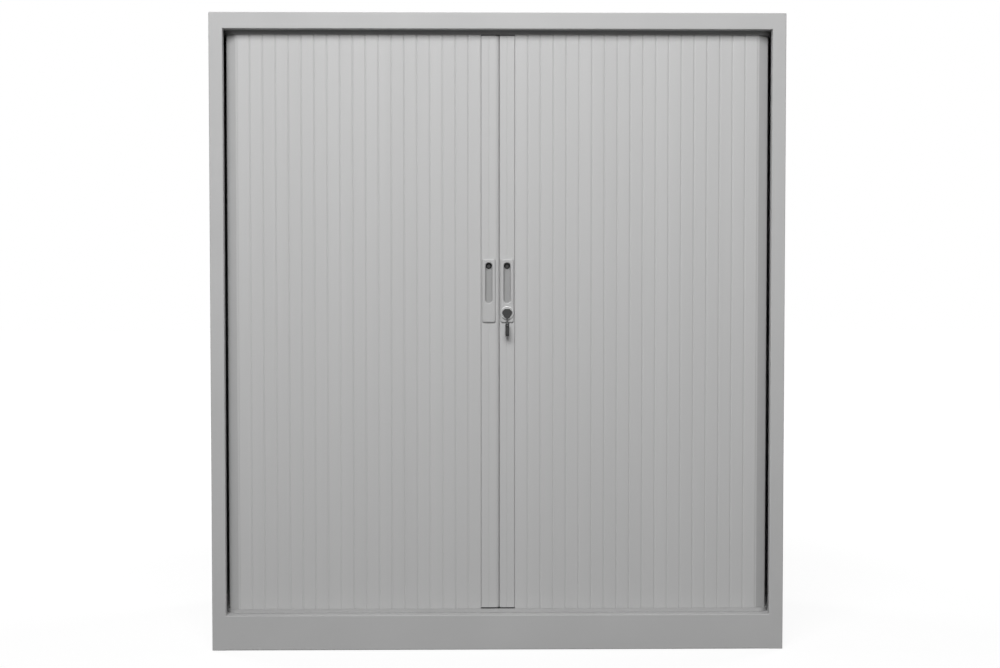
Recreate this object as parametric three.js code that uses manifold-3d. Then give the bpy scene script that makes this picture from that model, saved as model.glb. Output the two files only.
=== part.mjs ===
// A steel cabinet whose two slatted doors slide apart and run round the front corners into the sides.
// Millimetres, +Z up, +X to the right as seen from the front, the front facing -Y.
// The origin is on the floor under the middle of the cabinet.

import * as THREE from "three";
import { mergeVertices } from "three/addons/utils/BufferGeometryUtils.js";
import Module from "manifold-3d";

const wasm = await Module();
wasm.setup();

// Whole cabinet
const width = 914;
const depth = 470;
const height = 1016;
const sheet = 1;
const fit = 0.3;
const overrun = 2;
const arcSteps = 5;
const roundSteps = 24;
const rodSteps = 12;
const hexSides = 6;
const halvings = 40;
const snapSteps = 1024;
const flatness = 0.002;

// Frame seen from the front
const flangeWidth = 22;
const lipHeight = 26;
const returnDepth = 15;
const rearFlangeWidth = 12;
const sideLift = 1;
const plinthTop = 57;
const plinthLift = 1;
const stiffenerDepth = 20;

// Curtains of slats
const recess = 22;
const slatPitch = 20.45;
const slatThickness = 6;
const slatTaper = 3;
const grooveHalfWidth = 2.4;
const grooveDepth = 0.9;
const webHalfWidth = 1.2;
const webDepth = 2;
const bendRadius = 15;
const tailRun = 34;
const pocketMargin = 1;

// Guide tracks
const trackInside = 7.2;
const trackOutside = 1;
const trackWall = 1.4;
const trackCorner = 2.9;
const trackFloor = 1.2;
const trackDepth = 5;
const trackRearGap = 3;

// Lead stiles and their guide shoes
const middleGap = 5;
const stileWidth = 24.3;
const stileThickness = 14;
const stileWall = 1.5;
const stileProud = 0.5;
const stileRound = 1.4;
const meetingRound = 3.5;
const stripDepth = 5;
const stripThickness = 2;
const shoeFlange = 1.5;
const shoePlug = 14;
const shoeTongueWidth = 20;
const shoeTongueThickness = 4;

// Handles
const handleWidth = 22;
const handleHeight = 103;
const handleProud = 2.6;
const handleRound = 3;
const handleBase = 524.5;
const slotWidth = 10.5;
const slotHeight = 64;
const slotBase = 32;
const slotShallow = 6;
const slotDeep = 10;
const slotDeepHeight = 12;
const cupWall = 1.2;
const handleScrewRadius = 1.75;
const handleScrewHeadRadius = 4.2;
const handleScrewHeadHeight = 2.4;

// Lock
const lockRise = 16.3;
const headRadius = 10.5;
const headProud = 2.5;
const headChamfer = 0.8;
const barrelRadius = 8;
const barrelTail = 3.2;
const plugRadius = 5.8;
const plugRecess = 0.4;
const plugTailSide = 6;
const nutAcross = 24;
const nutThickness = 2.6;
const hookThickness = 2;
const hookHub = 7;
const hookHalfWidth = 4;
const hookReach = 33;
const clawWidth = 5;
const clawHeight = 7;
const hookScrewRadius = 1.5;
const hookScrewLength = 4;
const hookScrewHeadRadius = 4.5;
const hookScrewHeadHeight = 2;

// Keeper on the other stile
const keeperPinRadius = 2;
const keeperPinLength = 9;
const keeperPinRun = 24;
const keeperPinClear = 1;
const keeperWidth = 14;
const keeperHeight = 44;
const keeperThickness = 1.6;
const keeperMargin = 8;
const keeperScrewRise = 14;
const keeperScrewSpacing = 14;
const keeperScrewRadius = 1.8;
const keeperScrewLength = 5;
const keeperScrewHeadRadius = 3.2;
const keeperScrewHeadHeight = 1.4;

// Key
const bladeLength = 16;
const bladeHeight = 7;
const bladeThickness = 2;
const capWidth = 14;
const capFootWidth = 4.8;
const capRise = 5.4;
const capDrop = 8.5;
const capThickness = 2.6;
const capSkin = 1;
const capCorner = 3.5;
const capStraight = 1;
const tongueThickness = 2.4;
const tongueHeight = 5;
const pivotDrop = 17;
const pivotReach = 2.7;
const pinRadius = 0.9;
const bowThickness = 6;
const bowBehind = 5;
const bowAhead = 9;
const bowShoulder = 7;
const bowDrop = 20.5;
const bowRound = 5;
const bowForkClear = 2;

// Inner sides, uprights, shelves
const linerInset = 44;
const linerFlange = 12;
const uprightWidth = 24;
const uprightDepth = 4;
const uprightWall = 1;
const uprightInset = 14;
const holePitch = 40;
const holeHeight = 10;
const holeWidth = 12;
const holeMargin = 30;
const lowerShelfSteps = 7;
const upperShelfSteps = 15;
const shelfDrop = 25;
const shelfReturn = 10;
const shelfSideGap = 1;
const shelfFrontGap = 8;
const clipWidth = 11;
const clipReach = 12;
const clipThickness = 2;
const clipDrop = 16;
const clipHook = 3;

// Levelling feet
const footInset = 40;
const footRadius = 16;
const footHeight = 8;
const footTaper = 4;
const footNeck = 10;
const stemRadius = 4;
const stemTop = 48;
const bracketSide = 40;
const bracketThickness = 2;
const bracketHeight = 26;

// Places that follow from the sizes
const halfWidth = width / 2;
const front = -depth / 2;
const back = depth / 2;
const returnEnd = front + returnDepth;
const flangeEdge = halfWidth - flangeWidth;
const wallInside = halfWidth - sheet;
const skinUnderside = height - sheet;
const lipBase = height - lipHeight;
const lipEdge = flangeEdge - fit;
const backPanelFront = back - sheet;
const sideRear = backPanelFront - fit;
const panelRear = sideRear - sheet - fit;
const baseTop = plinthTop;
const slatFront = front + recess;
const slatBack = slatFront + slatThickness;
const pocketX = flangeEdge - pocketMargin;
const bendX = pocketX - bendRadius;
const bendY = slatFront + bendRadius;
const stileInner = middleGap / 2;
const stileOuter = stileInner + stileWidth;
const stileMiddle = (stileInner + stileOuter) / 2;
const stileFront = slatFront - stileProud;
const stileBack = stileFront + stileThickness;
const curtainStart = stileOuter + fit;
const trackHeight = trackFloor + trackDepth;
const trackBase = baseTop + fit;
const trackTop = lipBase - fit;
const slatBase = trackBase + trackFloor + fit;
const slatTop = trackTop - trackFloor - fit;
const shoeBase = trackBase + trackHeight + fit;
const shoeTop = trackTop - trackHeight - fit;
const stileBase = shoeBase + shoeFlange + fit;
const stileTop = shoeTop - shoeFlange - fit;
const linerX = pocketX - trackInside - trackWall - fit;
const linerInside = linerX - sheet;
const linerFront = slatBack + linerInset;
const uprightInner = linerInside - fit - uprightDepth;
const uprightBase = baseTop + fit + sheet + fit;
const uprightHeight = lipBase - fit - sheet - fit - uprightBase;
const uprightFrontY = linerFront + sheet + uprightInset + uprightWidth / 2;
const uprightRearY = panelRear - uprightInset - uprightWidth / 2;
const shelfEdge = uprightInner - shelfSideGap;
const shelfFront = linerFront + sheet + shelfFrontGap;
const shelfRear = panelRear - shelfFrontGap;
const plateFront = stileFront - fit - handleProud;
const lockZ = handleBase + lockRise;
const handleScrewZ = handleBase + slotBase + slotHeight - slotWidth / 2;
const handleScrewLength = stileBack - plateFront - slotDeep;

// Depths in the lock, from the front of the handle plate
const headFace = -fit - headProud;
const plugFace = headFace + plugRecess;
const barrelEnd = stileBack - plateFront + barrelTail;
const hookFront = barrelEnd + fit;
const hookBack = hookFront + hookThickness;
const bladeEnd = plugFace - fit + bladeLength;
const capBack = headFace - fit;
const capFront = capBack - capThickness;
const webFront = capFront + capSkin + fit;
const pivotY = capFront - pivotReach;
const keeperPinX = stileMiddle - keeperPinRun;
const keeperPinZ = lockZ + hookHalfWidth + keeperPinClear + keeperPinRadius;
const keeperScrewHeights = [keeperScrewRise, keeperScrewRise + keeperScrewSpacing];

// Paint and materials
const paint = new THREE.MeshStandardMaterial({ color: 0xb4b4b4, roughness: 0.55, metalness: 0 });
const slatPlastic = new THREE.MeshStandardMaterial({ color: 0xb8b8b8, roughness: 0.6, metalness: 0 });
const trackPlastic = new THREE.MeshStandardMaterial({ color: 0x58585a, roughness: 0.6, metalness: 0 });
const handlePlastic = new THREE.MeshStandardMaterial({ color: 0xb0b0b0, roughness: 0.45, metalness: 0 });
const nylon = new THREE.MeshStandardMaterial({ color: 0x2b2b2d, roughness: 0.55, metalness: 0 });
const bowPlastic = new THREE.MeshStandardMaterial({ color: 0x222224, roughness: 0.4, metalness: 0 });
const chrome = new THREE.MeshStandardMaterial({ color: 0xd8d8da, roughness: 0.15, metalness: 1 });
const blackSteel = new THREE.MeshStandardMaterial({ color: 0x1f1f21, roughness: 0.45, metalness: 1 });
const zincSteel = new THREE.MeshStandardMaterial({ color: 0xb9bbbd, roughness: 0.4, metalness: 1 });

const alongX = new THREE.Matrix4().makeBasis(
  new THREE.Vector3(0, 1, 0),
  new THREE.Vector3(0, 0, 1),
  new THREE.Vector3(1, 0, 0),
);
const alongY = new THREE.Matrix4().makeBasis(
  new THREE.Vector3(0, 0, 1),
  new THREE.Vector3(1, 0, 0),
  new THREE.Vector3(0, 1, 0),
);

// A box between two places on each axis
function box([x0, x1], [y0, y1], [z0, z1]) {
  const shape = new THREE.BoxGeometry(Math.abs(x1 - x0), Math.abs(y1 - y0), Math.abs(z1 - z0));
  return shape.translate((x0 + x1) / 2, (y0 + y1) / 2, (z0 + z1) / 2);
}

function outline(points) {
  return new THREE.Shape(points.map(([u, v]) => new THREE.Vector2(u, v)));
}

// An outline in x and y, raised from z0 to z1
function raise(shape, z0, z1, curveSegments = arcSteps) {
  const solid = new THREE.ExtrudeGeometry(shape, { depth: z1 - z0, bevelEnabled: false, curveSegments });
  return solid.translate(0, 0, z0);
}

// An outline in y and z, drawn out from x0 to x1
function drawAlongX(shape, x0, x1) {
  return raise(shape, x0, x1).applyMatrix4(alongX);
}

// An outline in z and x, drawn out from y0 to y1
function drawAlongY(shape, y0, y1, curveSegments = arcSteps) {
  return raise(shape, y0, y1, curveSegments).applyMatrix4(alongY);
}

// A rectangle with round corners, centred on u and v
function roundedRect(u, v, uSize, vSize, radius) {
  const shape = new THREE.Shape();
  const [right, top] = [u + uSize / 2 - radius, v + vSize / 2 - radius];
  const [left, bottom] = [u - uSize / 2 + radius, v - vSize / 2 + radius];
  shape.absarc(right, top, radius, 0, Math.PI / 2);
  shape.absarc(left, top, radius, Math.PI / 2, Math.PI);
  shape.absarc(left, bottom, radius, Math.PI, (Math.PI * 3) / 2);
  shape.absarc(right, bottom, radius, (Math.PI * 3) / 2, Math.PI * 2);
  return shape;
}

// A turned piece with its axis along y, from points of radius and y
function turn(points) {
  const profile = points.map(([radius, y]) => new THREE.Vector2(radius, y));
  return new THREE.LatheGeometry(profile, roundSteps);
}

// A geometry as a solid to join or cut, its points on a fine grid so that flush faces stay flush
function toSolid(geometry) {
  const bare = geometry.clone();
  bare.deleteAttribute("normal");
  bare.deleteAttribute("uv");
  const merged = mergeVertices(bare);
  const onGrid = (value) => Math.round(value * snapSteps) / snapSteps;
  const vertProperties = Float32Array.from(merged.attributes.position.array, onGrid);
  const triVerts = new Uint32Array(merged.index.array);
  return new wasm.Manifold(new wasm.Mesh({ numProp: 3, vertProperties, triVerts }));
}

// A solid as a geometry, each flat face without stray points
function toGeometry(solid) {
  const mesh = solid.asOriginal().simplify(flatness).getMesh();
  const geometry = new THREE.BufferGeometry();
  geometry.setAttribute("position", new THREE.BufferAttribute(mesh.vertProperties, 3));
  geometry.setIndex(new THREE.BufferAttribute(mesh.triVerts, 1));
  geometry.computeVertexNormals();
  return geometry;
}

function join(...geometries) {
  return toGeometry(geometries.map(toSolid).reduce((sum, next) => sum.add(next)));
}

function cut(geometry, ...tools) {
  return toGeometry(tools.map(toSolid).reduce((rest, tool) => rest.subtract(tool), toSolid(geometry)));
}

function common(geometry, other) {
  return toGeometry(toSolid(geometry).intersect(toSolid(other)));
}

function piece(name, geometry, material, group) {
  const mesh = new THREE.Mesh(geometry, material);
  mesh.name = name;
  group.add(mesh);
  return mesh;
}

// The outline of a sheet folded at right angles, with its outer face along the path and the sheet on the left
function foldedSheet(path) {
  const normals = path.slice(1).map(([x, y], i) => {
    const [dx, dy] = [x - path[i][0], y - path[i][1]];
    return [-Math.sign(dy), Math.sign(dx)];
  });
  const inner = path.map(([x, y], i) => {
    const touching = normals.slice(Math.max(i - 1, 0), i + 1);
    const [shiftX, shiftY] = touching.reduce((sum, normal) => [sum[0] + normal[0], sum[1] + normal[1]]);
    return [x + sheet * shiftX, y + sheet * shiftY];
  });
  return outline([...path, ...inner.reverse()]);
}

// Points of the right-hand half, or their mirror image on the left, in the same turning order
function onSide(side, points) {
  return side > 0 ? points : points.map(([x, y]) => [-x, y]).reverse();
}

// Side panel: flange and return in front, a narrow flange at the back
function sidePanel(side) {
  const path = [
    [flangeEdge, returnEnd],
    [flangeEdge, front],
    [halfWidth, front],
    [halfWidth, sideRear],
    [halfWidth - rearFlangeWidth, sideRear],
  ];
  return raise(foldedSheet(onSide(side, path)), sideLift, skinUnderside - fit);
}

// Top panel: skin, front lip with its return, and a stiffener at the back
function topPanel() {
  const across = [-lipEdge, lipEdge];
  const rearEdge = halfWidth - rearFlangeWidth - fit;
  return join(
    box([-halfWidth, halfWidth], [front, back], [skinUnderside, height]),
    box(across, [front, front + sheet], [lipBase, height]),
    box(across, [front, returnEnd], [lipBase, lipBase + sheet]),
    box([-rearEdge, rearEdge], [sideRear - sheet, sideRear], [skinUnderside - stiffenerDepth, height]),
  );
}

function plinthPanel() {
  const across = [-lipEdge, lipEdge];
  return join(
    box(across, [front, front + sheet], [plinthLift, plinthTop]),
    box(across, [front, returnEnd], [plinthTop - sheet, plinthTop]),
    box(across, [front, returnEnd], [plinthLift, plinthLift + sheet]),
  );
}

// A level panel between the side panels, z 0 on its flat face, its stiffeners hanging below it
function trayPanel() {
  const edge = wallInside - fit;
  const start = returnEnd + fit;
  const drop = [-stiffenerDepth, 0];
  return join(
    box([-edge, edge], [start, panelRear], [-sheet, 0]),
    box([-edge, edge], [start, start + sheet], drop),
    box([-edge, edge], [panelRear - sheet, panelRear], drop),
    box([-edge, sheet - edge], [start, panelRear], drop),
    box([edge - sheet, edge], [start, panelRear], drop),
  );
}

function backPanel() {
  return box([-halfWidth, halfWidth], [backPanelFront, back], [sideLift, skinUnderside - fit]);
}

// Inner side: a sheet between the curtain's pocket and the load, folded inward at foot, head and front edge
function innerSide(side) {
  const [low, high] = [baseTop + fit, lipBase - fit];
  const [near, far] = [side * (linerX - linerFlange), side * linerX];
  const run = [linerFront, panelRear - fit];
  return join(
    box([side * linerInside, far], run, [low, high]),
    box([near, far], run, [low, low + sheet]),
    box([near, far], run, [high - sheet, high]),
    box([near, far], [linerFront, linerFront + sheet], [low, high]),
  );
}

// The band in plan between two offsets of the curtain's face, its inner corners cut straight for the slats
function trackBand(inside, outside, corner, rear) {
  const inner = bendRadius - inside;
  const cutEnd = corner * Math.SQRT2 - inner;
  const shape = new THREE.Shape();
  shape.moveTo(-pocketX - outside, rear);
  shape.lineTo(-pocketX - outside, bendY);
  shape.absarc(-bendX, bendY, bendRadius + outside, Math.PI, (Math.PI * 3) / 2);
  shape.absarc(bendX, bendY, bendRadius + outside, -Math.PI / 2, 0);
  shape.lineTo(pocketX + outside, rear);
  shape.lineTo(pocketX - inside, rear);
  shape.lineTo(bendX + inner, bendY - cutEnd);
  shape.lineTo(bendX + cutEnd, bendY - inner);
  shape.lineTo(-bendX - cutEnd, bendY - inner);
  shape.lineTo(-bendX - inner, bendY - cutEnd);
  shape.lineTo(-pocketX + inside, rear);
  return shape;
}

// Guide track, z 0 under its floor: one channel along the front and back down both sides
function track() {
  const rear = panelRear - trackRearGap;
  const channel = trackBand(trackInside, trackOutside, trackCorner, rear + overrun);
  const wide = [trackInside + trackWall, trackOutside + trackWall];
  const body = trackBand(...wide, trackCorner - trackWall, rear);
  return cut(raise(body, 0, trackHeight), raise(channel, trackFloor, trackHeight + overrun));
}

// The point on the curtain's face a given run from the lead stile, on the right-hand side
function hingePoint(run) {
  const straight = bendX - curtainStart;
  const bend = (bendRadius * Math.PI) / 2;
  if (run <= straight) {
    return [curtainStart + run, slatFront];
  }
  if (run >= straight + bend) {
    return [pocketX, bendY + run - straight - bend];
  }
  const angle = (run - straight) / bendRadius;
  return [bendX + bendRadius * Math.sin(angle), bendY - bendRadius * Math.cos(angle)];
}

// The run at which the next hinge is one slat away in a straight line, found by halving
function nextHinge(run) {
  const [x, y] = hingePoint(run);
  let [low, high] = [run, run + slatPitch * 2];
  for (let i = 0; i < halvings; i += 1) {
    const middle = (low + high) / 2;
    const [nextX, nextY] = hingePoint(middle);
    if (Math.hypot(nextX - x, nextY - y) < slatPitch) {
      low = middle;
    } else {
      high = middle;
    }
  }
  return low;
}

// Every hinge of the curtain, from the lead stile to its tail in the pocket
function hingeLine() {
  const end = bendX - curtainStart + (bendRadius * Math.PI) / 2 + tailRun;
  const points = [hingePoint(0)];
  for (let run = 0; run < end; ) {
    run = nextHinge(run);
    points.push(hingePoint(run));
  }
  return points;
}

// The way from one hinge to the next and the way into the cabinet from there
function slatFrame([x0, y0], [x1, y1]) {
  const length = Math.hypot(x1 - x0, y1 - y0);
  const [dirX, dirY] = [(x1 - x0) / length, (y1 - y0) / length];
  const place = ([along, behind]) => [x0 + along * dirX - behind * dirY, y0 + along * dirY + behind * dirX];
  return { length, place, inward: [-dirY, dirX] };
}

// The bottom of the shallow groove in front of a hinge
function grooveBottom([x, y], frames) {
  const shift = (axis) => frames.reduce((sum, frame) => sum + frame.inward[axis], 0) / frames.length;
  return [x + grooveDepth * shift(0), y + grooveDepth * shift(1)];
}

// Curtain: slats that narrow toward their backs, joined edge to edge by thin flexible webs behind the grooves
function curtain(side) {
  const hinges = hingeLine();
  const frames = hinges.slice(1).map((hinge, i) => slatFrame(hinges[i], hinge));
  const face = hinges.flatMap((hinge, i) => {
    const bottom = grooveBottom(hinge, frames.slice(Math.max(i - 1, 0), i + 1));
    if (i === frames.length) {
      return [bottom];
    }
    const { length, place } = frames[i];
    return [bottom, place([grooveHalfWidth, 0]), place([length - grooveHalfWidth, 0])];
  });
  const rear = frames.flatMap(({ length, place }) => [
    place([webHalfWidth, webDepth]),
    place([slatTaper, slatThickness]),
    place([length - slatTaper, slatThickness]),
    place([length - webHalfWidth, webDepth]),
  ]);
  return raise(outline(onSide(side, [...face, ...rear.reverse()])), slatBase, slatTop);
}

// Lead stile: a hollow bar, x 0 on its middle and y 0 on its front face, rounder where the doors meet
function stile(side, ...holes) {
  const half = stileWidth / 2;
  const [first, last] = side > 0 ? [meetingRound, stileRound] : [stileRound, meetingRound];
  const shape = new THREE.Shape();
  shape.moveTo(-half, stileThickness);
  shape.lineTo(-half, first);
  shape.absarc(first - half, first, first, Math.PI, (Math.PI * 3) / 2);
  shape.absarc(half - last, last, last, -Math.PI / 2, 0);
  shape.lineTo(half, stileThickness);
  const [cavityX, cavityBack] = [half - stileWall, stileThickness - stileWall];
  const cavity = [
    [-cavityX, stileWall],
    [cavityX, stileWall],
    [cavityX, cavityBack],
    [-cavityX, cavityBack],
  ];
  shape.holes.push(new THREE.Path(cavity.map(([x, y]) => new THREE.Vector2(x, y))));
  return cut(raise(shape, stileBase, stileTop), ...holes);
}

// Strip along the left stile that closes the gap between the doors
function meetingStrip() {
  const half = stileWidth / 2;
  const across = [half - stileWall, half + middleGap - fit];
  return box(across, [stripDepth, stripDepth + stripThickness], [stileBase, stileTop]);
}

// The hole in a stile's front wall that the handle's cup goes through
function cupHole() {
  const grown = (cupWall + fit) * 2;
  const middle = handleBase + slotBase + slotHeight / 2;
  const radius = slotWidth / 2 + cupWall;
  const shape = roundedRect(middle, 0, slotHeight + grown, slotWidth + grown, radius);
  return drawAlongY(shape, -overrun, stileWall + overrun);
}

// A rod along y, centred on x and z
function rod(x, z, radius, y0, y1) {
  const circle = new THREE.Shape();
  circle.absarc(z, x, radius, 0, Math.PI * 2);
  return drawAlongY(circle, y0, y1, rodSteps);
}

// The hole for the screw that holds a handle
function handleScrewHole(z, depths) {
  return rod(0, z, handleScrewRadius + fit, ...depths);
}

// Guide shoe, z 0 on the stile's end: a flange, a plug inside the stile and a tongue for the track below
function shoe() {
  const half = stileWidth / 2;
  const plugHalf = half - stileWall - fit;
  const tongueMiddle = slatFront + slatThickness / 2 - stileFront;
  const tongueHalf = shoeTongueThickness / 2;
  const tongueEnd = -shoeFlange - fit - trackDepth;
  return join(
    box([-half, half], [0, stileThickness], [-shoeFlange - fit, -fit]),
    box([-plugHalf, plugHalf], [stileWall + fit, stileThickness - stileWall - fit], [-shoeFlange, shoePlug]),
    box(
      [-shoeTongueWidth / 2, shoeTongueWidth / 2],
      [tongueMiddle - tongueHalf, tongueMiddle + tongueHalf],
      [tongueEnd, -shoeFlange],
    ),
  );
}

// Handle: a plate with a finger slot in a cup, x 0 on its middle, y 0 on its front face and z 0 at its foot
function handle(...holes) {
  const plate = roundedRect(handleHeight / 2, 0, handleHeight, handleWidth, handleRound);
  const slotMiddle = slotBase + slotHeight / 2;
  const slotEnd = slotBase + slotHeight;
  const cupRadius = slotWidth / 2 + cupWall;
  const cup = roundedRect(slotMiddle, 0, slotHeight + cupWall * 2, slotWidth + cupWall * 2, cupRadius - fit);
  const mouth = roundedRect(slotMiddle, 0, slotHeight, slotWidth, slotWidth / 2 - fit);
  const floor = [
    [-overrun, slotBase - overrun],
    [slotShallow, slotBase - overrun],
    [(slotShallow + slotDeep) / 2, slotEnd - slotDeepHeight],
    [slotDeep, slotEnd - slotDeepHeight],
    [slotDeep, slotEnd + overrun],
    [-overrun, slotEnd + overrun],
  ];
  const slot = common(
    drawAlongY(mouth, -overrun, slotDeep),
    drawAlongX(outline(floor), -slotWidth, slotWidth),
  );
  const body = join(drawAlongY(plate, 0, handleProud), drawAlongY(cup, 0, slotDeep + cupWall));
  const cupFloor = [slotDeep - overrun, slotDeep + cupWall + overrun];
  return cut(body, slot, handleScrewHole(slotEnd - slotWidth / 2, cupFloor), ...holes);
}

// Lock barrel: a bevelled head on the handle plate and a tube through the stile
function lockBarrel() {
  const bore = plugRadius + fit;
  return turn([
    [bore, barrelEnd],
    [bore, headFace],
    [headRadius - headChamfer, headFace],
    [headRadius, headFace + headChamfer],
    [headRadius, -fit],
    [barrelRadius, -fit],
    [barrelRadius, barrelEnd],
    [bore, barrelEnd],
  ]);
}

function lockNut() {
  const points = Array.from({ length: hexSides }, (_, i) => {
    const angle = (i * Math.PI * 2) / hexSides;
    return [(nutAcross / 2) * Math.cos(angle), (nutAcross / 2) * Math.sin(angle)];
  });
  const start = stileBack - plateFront + fit;
  const ring = drawAlongY(outline(points), start, start + nutThickness);
  return cut(ring, rod(0, 0, barrelRadius + fit, 0, start + nutThickness + overrun));
}

// Plug: turns in the barrel, with the keyway in front and a square tail for the hook behind
function lockPlug() {
  const tail = plugTailSide / 2;
  const [slotX, slotZ] = [bladeThickness / 2 + fit, bladeHeight / 2 + fit];
  const keyway = [plugFace - overrun, plugFace + bladeLength + fit];
  const body = join(
    rod(0, 0, plugRadius, plugFace, barrelEnd),
    box([-tail, tail], [barrelEnd - overrun, hookBack], [-tail, tail]),
  );
  return cut(
    body,
    box([-slotX, slotX], keyway, [-slotZ, slotZ]),
    rod(0, 0, hookScrewRadius + fit, hookBack - hookScrewLength, hookBack + overrun),
  );
}

// Hook: hangs from the plug's tail, with a claw at its tip that swings up behind the keeper's pin
function lockHook() {
  const hole = plugTailSide / 2 + fit;
  const thick = [hookFront, hookBack];
  const arm = [-hookHalfWidth, hookHalfWidth];
  const claw = [-hookHalfWidth - clawHeight, hookHalfWidth];
  const body = join(
    rod(0, 0, hookHub, ...thick),
    box(arm, thick, [-hookReach, 0]),
    box(claw, thick, [-hookReach, clawWidth - hookReach]),
  );
  return cut(body, box([-hole, hole], [hookFront - overrun, hookBack + overrun], [-hole, hole]));
}

// A screw that is driven toward -y, its head starting at y 0
function screw(radius, length, headRadius, headHeight) {
  return turn([
    [0, -length],
    [radius, -length],
    [radius, 0],
    [headRadius, 0],
    [headRadius, headHeight],
    [0, headHeight],
  ]);
}

// Keeper, x and z 0 on its pin and y 0 on the plate's front: a screwed plate that carries the pin
function keeper() {
  const edge = keeperPinX + stileMiddle;
  const plate = [-keeperWidth / 2 - edge, keeperWidth / 2 - edge];
  const holes = keeperScrewHeights.map((z) => {
    return rod(-edge, z, keeperScrewRadius + fit, -overrun, keeperThickness + overrun);
  });
  const body = join(
    box(plate, [0, keeperThickness], [-keeperMargin, keeperHeight - keeperMargin]),
    rod(0, 0, keeperPinRadius, 0, keeperThickness + keeperPinLength),
  );
  return cut(body, ...holes);
}

// Key: blade in the plug, a web behind the cap and a tongue below it that the bow folds on
function key() {
  const [half, tongue] = [bladeThickness / 2, tongueThickness / 2];
  const [low, high] = [-pivotDrop - tongueHeight / 2, -pivotDrop + tongueHeight / 2];
  const body = join(
    box([-half, half], [webFront, bladeEnd], [-bladeHeight / 2, bladeHeight / 2]),
    box([-tongue, tongue], [webFront, capBack], [low, bladeHeight / 2]),
    box([-tongue, tongue], [pivotY - tongueHeight / 2, capBack], [low, high]),
  );
  return cut(body, crossHole(tongueThickness));
}

// Cap moulded on the key: a shield in front of the lock with a slot in its back for the steel
function keyCap() {
  const [half, foot] = [capWidth / 2, capFootWidth / 2];
  const edge = [
    [capRise, half - capCorner],
    [capRise - capCorner, half],
    [-capStraight, half],
    [-capDrop, foot],
  ];
  const mirrored = edge.map(([z, x]) => [z, -x]).reverse();
  const slotX = tongueThickness / 2 + fit;
  return cut(
    drawAlongY(outline([...edge, ...mirrored]), capFront, capBack),
    box([-slotX, slotX], [webFront - fit, capBack + overrun], [-capDrop - overrun, bladeHeight / 2 + fit]),
  );
}

// A hole along x for the key's pin
function crossHole(across) {
  const circle = new THREE.Shape();
  circle.absarc(pivotY, -pivotDrop, pinRadius + fit, 0, Math.PI * 2);
  return drawAlongX(circle, -across, across);
}

// Bow: a flat grip that hangs edge on from a round nose, forked there round the key's tongue
function keyBow() {
  const nose = pivotReach - fit;
  const [rear, front] = [pivotY + bowBehind, pivotY - bowAhead];
  const [shoulder, foot] = [-pivotDrop - bowShoulder, -pivotDrop - bowDrop];
  const shape = new THREE.Shape();
  shape.moveTo(rear, shoulder);
  shape.lineTo(pivotY + nose, -pivotDrop);
  shape.absarc(pivotY, -pivotDrop, nose, 0, Math.PI);
  shape.lineTo(front, shoulder);
  shape.lineTo(front, foot + bowRound);
  shape.absarc(front + bowRound, foot + bowRound, bowRound, Math.PI, (Math.PI * 3) / 2);
  shape.absarc(rear - bowRound, foot + bowRound, bowRound, (Math.PI * 3) / 2, Math.PI * 2);
  const fork = tongueThickness / 2 + fit;
  const forkBase = -pivotDrop - tongueHeight / 2 - bowForkClear;
  return cut(
    drawAlongX(shape, -bowThickness / 2, bowThickness / 2),
    box([-fork, fork], [front - overrun, rear + overrun], [forkBase, overrun - pivotDrop + nose]),
    crossHole(bowThickness),
  );
}

// Pin of the key's fold, along x
function keyPin() {
  const circle = new THREE.Shape();
  circle.absarc(pivotY, -pivotDrop, pinRadius, 0, Math.PI * 2);
  return drawAlongX(circle, -bowThickness / 2, bowThickness / 2);
}

// Slotted upright, x 0 on its face toward the load, y 0 on its middle and z 0 at its foot
function upright() {
  const half = uprightWidth / 2;
  const web = outline([[-half, 0], [half, 0], [half, uprightHeight], [-half, uprightHeight]]);
  for (let z = holeMargin; z <= uprightHeight - holeMargin; z += holePitch) {
    const [y0, y1] = [-holeWidth / 2, holeWidth / 2];
    const [z0, z1] = [z - holeHeight / 2, z + holeHeight / 2];
    const corners = [[y0, z0], [y1, z0], [y1, z1], [y0, z1]];
    web.holes.push(new THREE.Path(corners.map(([y, zed]) => new THREE.Vector2(y, zed))));
  }
  return join(
    drawAlongX(web, 0, uprightWall),
    box([0, uprightDepth], [-half, uprightWall - half], [0, uprightHeight]),
    box([0, uprightDepth], [half - uprightWall, half], [0, uprightHeight]),
  );
}

// Shelf clip, z 0 on the middle of its hole: a ledge, a foot against the upright and a hook behind it
function shelfClip() {
  const half = clipThickness / 2;
  const hookStart = uprightWall + fit;
  const hookBase = -holeHeight / 2 - clipHook;
  const profile = outline([
    [half, -fit - clipReach],
    [-half, -fit - clipReach],
    [-half, -fit - clipThickness],
    [-clipDrop, -fit - clipThickness],
    [-clipDrop, -fit],
    [-half, -fit],
    [-half, hookStart],
    [hookBase, hookStart],
    [hookBase, hookStart + clipThickness],
    [half, hookStart + clipThickness],
  ]);
  return drawAlongY(profile, -clipWidth / 2, clipWidth / 2);
}

// Shelf, z 0 at its foot: a sheet with all four edges folded down and in
function shelf() {
  const across = [-shelfEdge, shelfEdge];
  const along = [shelfFront, shelfRear];
  const [frontDrop, frontReturn] = [[shelfFront, shelfFront + sheet], [shelfFront, shelfFront + shelfReturn]];
  const [rearDrop, rearReturn] = [[shelfRear - sheet, shelfRear], [shelfRear - shelfReturn, shelfRear]];
  const sides = [1, -1].flatMap((side) => [
    box([side * (shelfEdge - sheet), side * shelfEdge], along, [0, shelfDrop]),
    box([side * (shelfEdge - shelfReturn), side * shelfEdge], along, [0, sheet]),
  ]);
  return join(
    box(across, along, [shelfDrop - sheet, shelfDrop]),
    box(across, frontDrop, [0, shelfDrop]),
    box(across, frontReturn, [0, sheet]),
    box(across, rearDrop, [0, shelfDrop]),
    box(across, rearReturn, [0, sheet]),
    ...sides,
  );
}

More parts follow.
